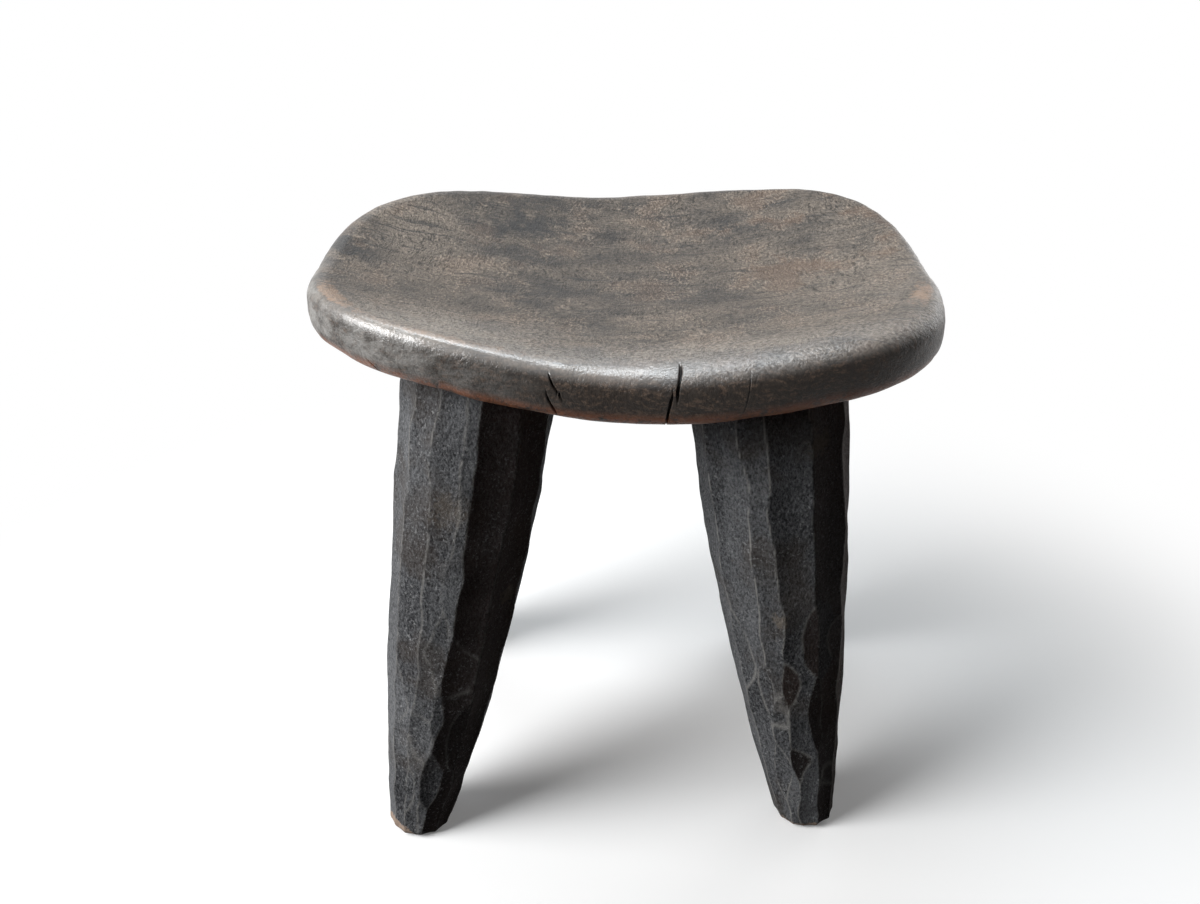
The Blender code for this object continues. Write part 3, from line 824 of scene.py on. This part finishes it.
legFinish = {
    "dark": (0.024, 0.024, 0.026), "light": (0.166, 0.168, 0.174), "brown": (0.055, 0.043, 0.035),
    "speck": (0.300, 0.300, 0.300), "ridge": (0.290, 0.280, 0.265), "scuff": (0.200, 0.165, 0.130),
    # painted shade for the flats away from the lamps: brown-black, blacker towards the foot
    "worn": (0.420, 0.310, 0.240), "paintedShadeBlack": (0.007, 0.006, 0.006), "paintedShadeBrown": (0.078, 0.053, 0.044),
    "roughness": 0.56, "specular": 0.012, "grain": (760, 760, 480), "grainContrast": 3.1,
    "paintedShadeTones": (-0.55, -1.0), "paintedShadeHeights": (0.19, 0.03),      # tones that are painted shade, and the heights at which that painted shade is blackest
    # patches
    "clouds": (30, 3.0, 0.55, 0.28, 0.74), "brownPatch": (24, 4.0, 0.55, 0.50, 0.66),
    "specks": (560, 3.0, 0.70, 0.57, 0.65), "dustPatch": (40, 4.0, 0.55, 0.42, 0.62),
    "ridgePatch": (85, 4.0, 0.6, 0.34, 0.54), "scuffPatch": (85, 6.0, 0.75, 0.655, 0.74),
    "rubEdge": (260, 4.0, 0.7), "wornEdge": (170, 5.0, 0.7), "pits": (420, 4.0, 0.68),
    "reliefStrength": 1.0, "reliefDepth": 0.0012,
    # rubbed spots: place, reach and strength
    "rubs": [((0.0880, -0.1149, 0.1628), 0.0060, 0.50), ((0.1026, -0.1069, 0.2730), 0.0100, 0.45),
             ((-0.0683, -0.0983, 0.1693), 0.0080, 0.50), ((-0.0971, -0.1145, 0.2353), 0.0130, 0.24)],
}


def legMaterial():
    c = legFinish
    wood, tree, shader, coords = startWood("legWood")
    m, mark, mix, layer, ramp, stretch, grains, uneven, patch = woodTools(tree)

    # charcoal grey, gritty, each flat in its own tone, browner in places; the front legs' flats towards the lamps
    # are toned lighter as painted light
    cloud = patch(stretch(coords, (1, 1, 0.5)), c["clouds"])
    grain = grains(stretch(coords, c["grain"]), 1.0, 4.0, 0.70)
    tone = m("MULTIPLY_ADD", cloud, 0.3, 0.29)
    tone = m("MULTIPLY_ADD", m("SUBTRACT", grain, 0.5), c["grainContrast"], tone)
    tone = m("MULTIPLY_ADD", mark("shade"), 0.24, tone)
    colour = mix(m("MINIMUM", m("MAXIMUM", tone, 0), 1), c["dark"], c["light"])
    colour = layer(colour, c["brown"], patch(coords, c["brownPatch"]), 0.5)

    # painted shade on the front legs' flats that face away from the lamps, blackest near the foot
    paintedShade = ramp(mark("shade"), *c["paintedShadeTones"])
    colour = layer(colour, c["paintedShadeBrown"], paintedShade, 0.5)
    place = addNode(tree, "ShaderNodeSeparateXYZ")
    feed(tree, place.inputs[0], coords)
    low = m("MULTIPLY", ramp(place.outputs["Z"], *c["paintedShadeHeights"]), paintedShade)
    colour = layer(colour, c["paintedShadeBlack"], low, 0.72)

    # dust, worn ridges, scuffs, rubbed spots and the bare edge of the foot
    dust = m("MULTIPLY", patch(coords, c["specks"]), m("MULTIPLY_ADD", paintedShade, -0.2, 1.0))
    colour = layer(colour, c["speck"], dust, m("MULTIPLY_ADD", patch(coords, c["dustPatch"]), 0.45, 0.25))
    colour = layer(colour, c["ridge"], m("MULTIPLY", mark("ridge"), patch(coords, c["ridgePatch"])), 0.85)
    colour = layer(colour, c["scuff"], patch(stretch(coords, (1, 1, 0.6)), c["scuffPatch"]), 0.6)
    rubEdge = uneven(coords, c["rubEdge"])
    for spot, reach, strength in c["rubs"]:
        away = addNode(tree, "ShaderNodeVectorMath", operation="DISTANCE")
        feed(tree, away.inputs[0], coords)
        away.inputs[1].default_value = spot
        away = m("MULTIPLY_ADD", rubEdge, 2.4 * reach, away.outputs["Value"])
        colour = layer(colour, c["scuff"], ramp(away, reach, 0.35 * reach), strength)
    bare = m("MULTIPLY_ADD", uneven(coords, c["wornEdge"]), 0.012, mark("bare"))
    colour = layer(colour, c["worn"], ramp(bare, -0.0006, 0.0012), 0.8)
    feed(tree, shader.inputs["Base Color"], colour)
    feed(tree, shader.inputs["Roughness"], m("MULTIPLY_ADD", grain, 0.16, c["roughness"] - 0.08))
    shader.inputs["Specular IOR Level"].default_value = c["specular"]
    fine = m("MULTIPLY_ADD", grain, 0.7, m("MULTIPLY", grains(coords, *c["pits"]), 0.9))
    relief(tree, shader, fine, c["reliefStrength"], c["reliefDepth"])
    return wood


seat = buildSeat()
seat.data.materials.append(seatMaterial())
legWood = legMaterial()
carving = carveTree()
pieces = {"seat": seat}
for legName in legLook["legs"]:
    pieces[legName] = buildLeg(carving, legName, legWood)
for nodeName, piece in pieces.items():
    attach(piece, "root")
    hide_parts(nodeName)
print("pieces placed:", len(pieces))


# studio: pale floor, a soft key and a lower window light from the left, a weak fill from the far right,
# a small lamp overhead
studio = {
    "floorColour": (0.90, 0.90, 0.90), "floorDim": (0.05, 0.05, 0.05), "floorLift": 0.13,
    "floorSize": 9.0, "floorDrop": 0.0003, "whiteFrom": 0.25, "whiteTo": 0.60, "ambient": 0.028,
    "key": {"place": (-1.60, -0.56, 1.50), "aim": (0, 0, 0.15), "size": (1.5, 1.5), "power": 49,
            "colour": (1.0, 0.99, 0.98)},
    "window": {"place": (-1.66, -0.78, 0.98), "aim": (0, 0, 0.15), "size": (1.1, 1.1), "power": 23,
               "colour": (0.94, 0.975, 1.0)},
    "fill": {"place": (1.25, 1.30, 0.50), "aim": (0, 0, 0.2), "size": (1.2, 1.2), "power": 10,
             "colour": (1.0, 0.99, 0.98)},
    "top": {"place": (-0.15, 0.55, 1.82), "aim": (-0.15, 0.09, 0.3), "size": (1.0, 0.65), "power": 11.5,
            "colour": (0.90, 0.96, 1.0)},
}


def seenRays(tree):
    path = addNode(tree, "ShaderNodeLightPath")
    shiny = calc(tree, "MAXIMUM", path.outputs["Is Glossy Ray"], path.outputs["Is Transmission Ray"])
    return calc(tree, "MAXIMUM", path.outputs["Is Camera Ray"], shiny)


# matt paper near the object, white further out
def buildFloor():
    half, level = studio["floorSize"] / 2, -studio["floorDrop"]
    corners = [(-half, -half, level), (half, -half, level), (half, half, level), (-half, half, level)]
    mesh = bpy.data.meshes.new("floor")
    mesh.from_pydata(corners, [], [(0, 1, 2, 3)])
    floor = bpy.data.objects.new("floor", mesh)
    bpy.context.scene.collection.objects.link(floor)
    paper = bpy.data.materials.new("paper")
    paper.use_nodes = True
    tree = paper.node_tree
    tree.nodes.clear()
    add, link = partial(addNode, tree), partial(feed, tree)
    coords = add("ShaderNodeTexCoord").outputs["Object"]
    far = add("ShaderNodeVectorMath", operation="LENGTH")
    link(far.inputs[0], coords)
    seen = seenRays(tree)
    matt = add("ShaderNodeBsdfDiffuse")
    link(matt.inputs["Color"], mixed(tree, seen, studio["floorDim"], studio["floorColour"]))
    lift = add("ShaderNodeEmission")
    link(lift.inputs["Strength"], calc(tree, "MULTIPLY", seen, studio["floorLift"]))
    lit = add("ShaderNodeAddShader")
    link(lit.inputs[0], matt.outputs[0])
    link(lit.inputs[1], lift.outputs[0])
    white = add("ShaderNodeEmission")
    link(white.inputs["Strength"], seen)
    blend = add("ShaderNodeMixShader")
    link(blend.inputs[0], fade(tree, far.outputs["Value"], studio["whiteFrom"], studio["whiteTo"]))
    link(blend.inputs[1], lit.outputs[0])
    link(blend.inputs[2], white.outputs[0])
    link(add("ShaderNodeOutputMaterial").inputs["Surface"], blend.outputs[0])
    mesh.materials.append(paper)


def buildWorld():
    world = bpy.data.worlds.new("studio")
    bpy.context.scene.world = world
    world.use_nodes = True
    tree = world.node_tree
    tree.nodes.clear()
    sky = addNode(tree, "ShaderNodeBackground")
    level = calc(tree, "MULTIPLY_ADD", seenRays(tree), 1 - studio["ambient"], studio["ambient"])
    feed(tree, sky.inputs["Strength"], level)
    sky.inputs["Color"].default_value = (1, 1, 1, 1)
    feed(tree, addNode(tree, "ShaderNodeOutputWorld").inputs["Surface"], sky.outputs[0])


def buildLamps():
    for name in ("key", "window", "fill", "top"):
        spec = studio[name]
        lamp = bpy.data.lights.new(name, "AREA")
        lamp.shape = "ELLIPSE"
        lamp.size, lamp.size_y = spec["size"]
        lamp.energy = spec["power"]
        lamp.color = spec["colour"]
        holder = bpy.data.objects.new(name, lamp)
        holder.location = spec["place"]
        aim = Vector(spec["aim"]) - Vector(spec["place"])
        holder.rotation_euler = aim.to_track_quat("-Z", "Y").to_euler()
        bpy.context.scene.collection.objects.link(holder)


# the photograph's view: 28 degrees down, straight on
cameraSetup = {"place": (-0.0145, -0.7228, 0.5957), "down": 28.0, "lens": 39.0, "sensor": 36.0}


def buildCamera():
    lens = bpy.data.cameras.new("photoView")
    lens.lens = cameraSetup["lens"]
    lens.sensor_width = cameraSetup["sensor"]
    lens.sensor_fit = "HORIZONTAL"
    lens.clip_start = 0.01
    camera = bpy.data.objects.new("photoView", lens)
    camera.location = cameraSetup["place"]
    camera.rotation_euler = (math.radians(90 - cameraSetup["down"]), 0, 0)
    bpy.context.scene.collection.objects.link(camera)
    bpy.context.scene.camera = camera


buildFloor()
buildWorld()
buildLamps()
buildCamera()
bpy.context.scene.view_settings.view_transform = "Standard"
print("studio and camera ready")
